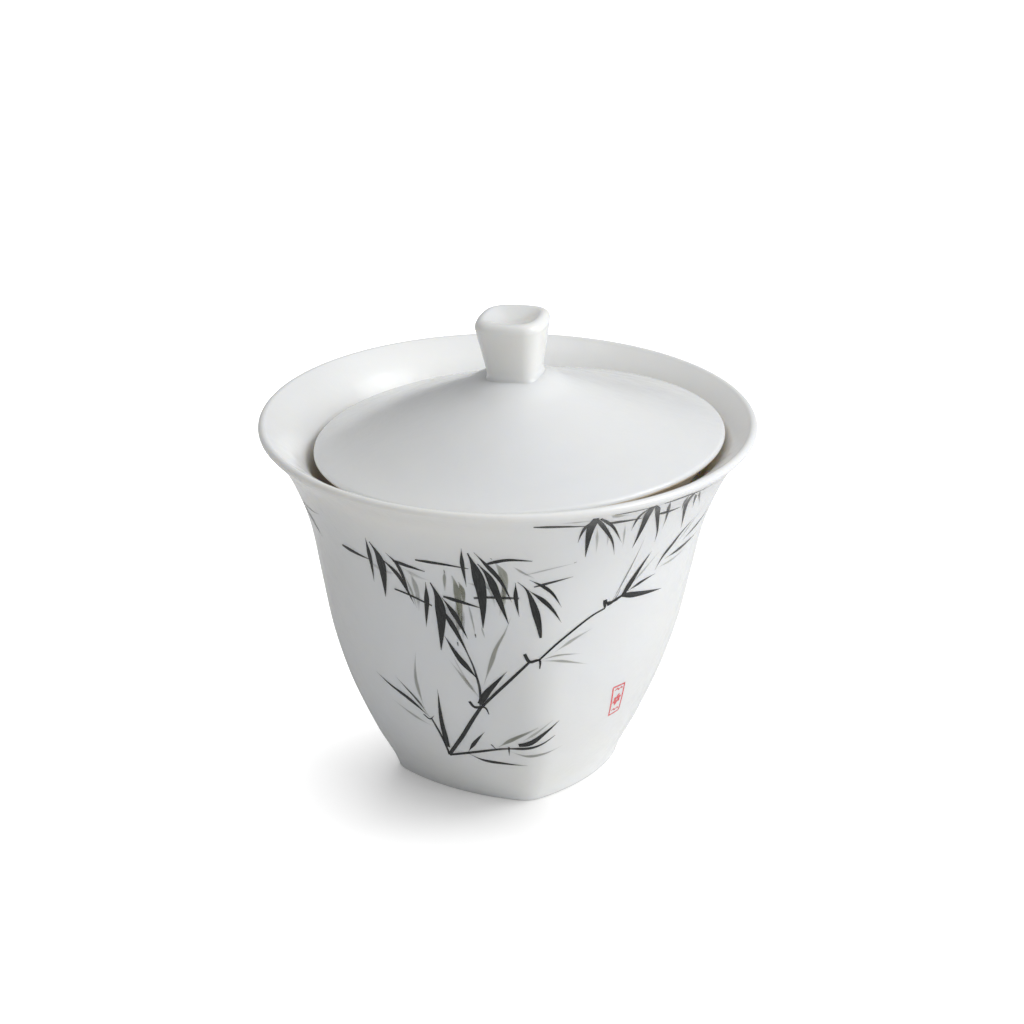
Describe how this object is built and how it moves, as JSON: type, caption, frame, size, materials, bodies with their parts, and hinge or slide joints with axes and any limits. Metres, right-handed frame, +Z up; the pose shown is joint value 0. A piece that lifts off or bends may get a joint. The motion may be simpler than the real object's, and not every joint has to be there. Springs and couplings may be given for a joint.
{
  "type": "gaiwan",
  "caption": "Lidded porcelain tea bowl with a round flared mouth, a rounded square foot, a loose cone lid with a dished square knob, and brush-painted bamboo.",
  "frame": {"origin": "centre of the footprint on the surface the bowl stands on, on the bowl's own axis", "axes": "+Z up; +X to the right and +Y away as seen from the painted front; one corner of the foot points 11.5 degrees to the right of -Y"},
  "size_m": [0.1, 0.1, 0.0961],
  "materials": {
    "porcelain": "cool white porcelain under a thin clear glaze, glossy with soft broad reflections",
    "biscuit": "unglazed porcelain at the foot and the lid's lower edge, matt, flushed warm brown",
    "ink": "black and grey brushed colour under the glaze",
    "seal_red": "soft red stamp under the glaze"
  },
  "bodies": {
    "bowl": {"bowl": "porcelain"},
    "lid": {"lid": "porcelain", "lid_knob": "porcelain"}
  },
  "joints": [
    {"name": "lid_lift", "type": "slide", "parent": "bowl", "child": "lid", "axis": [0, 0, 1], "range_m": [0, 0.06]}
  ]
}
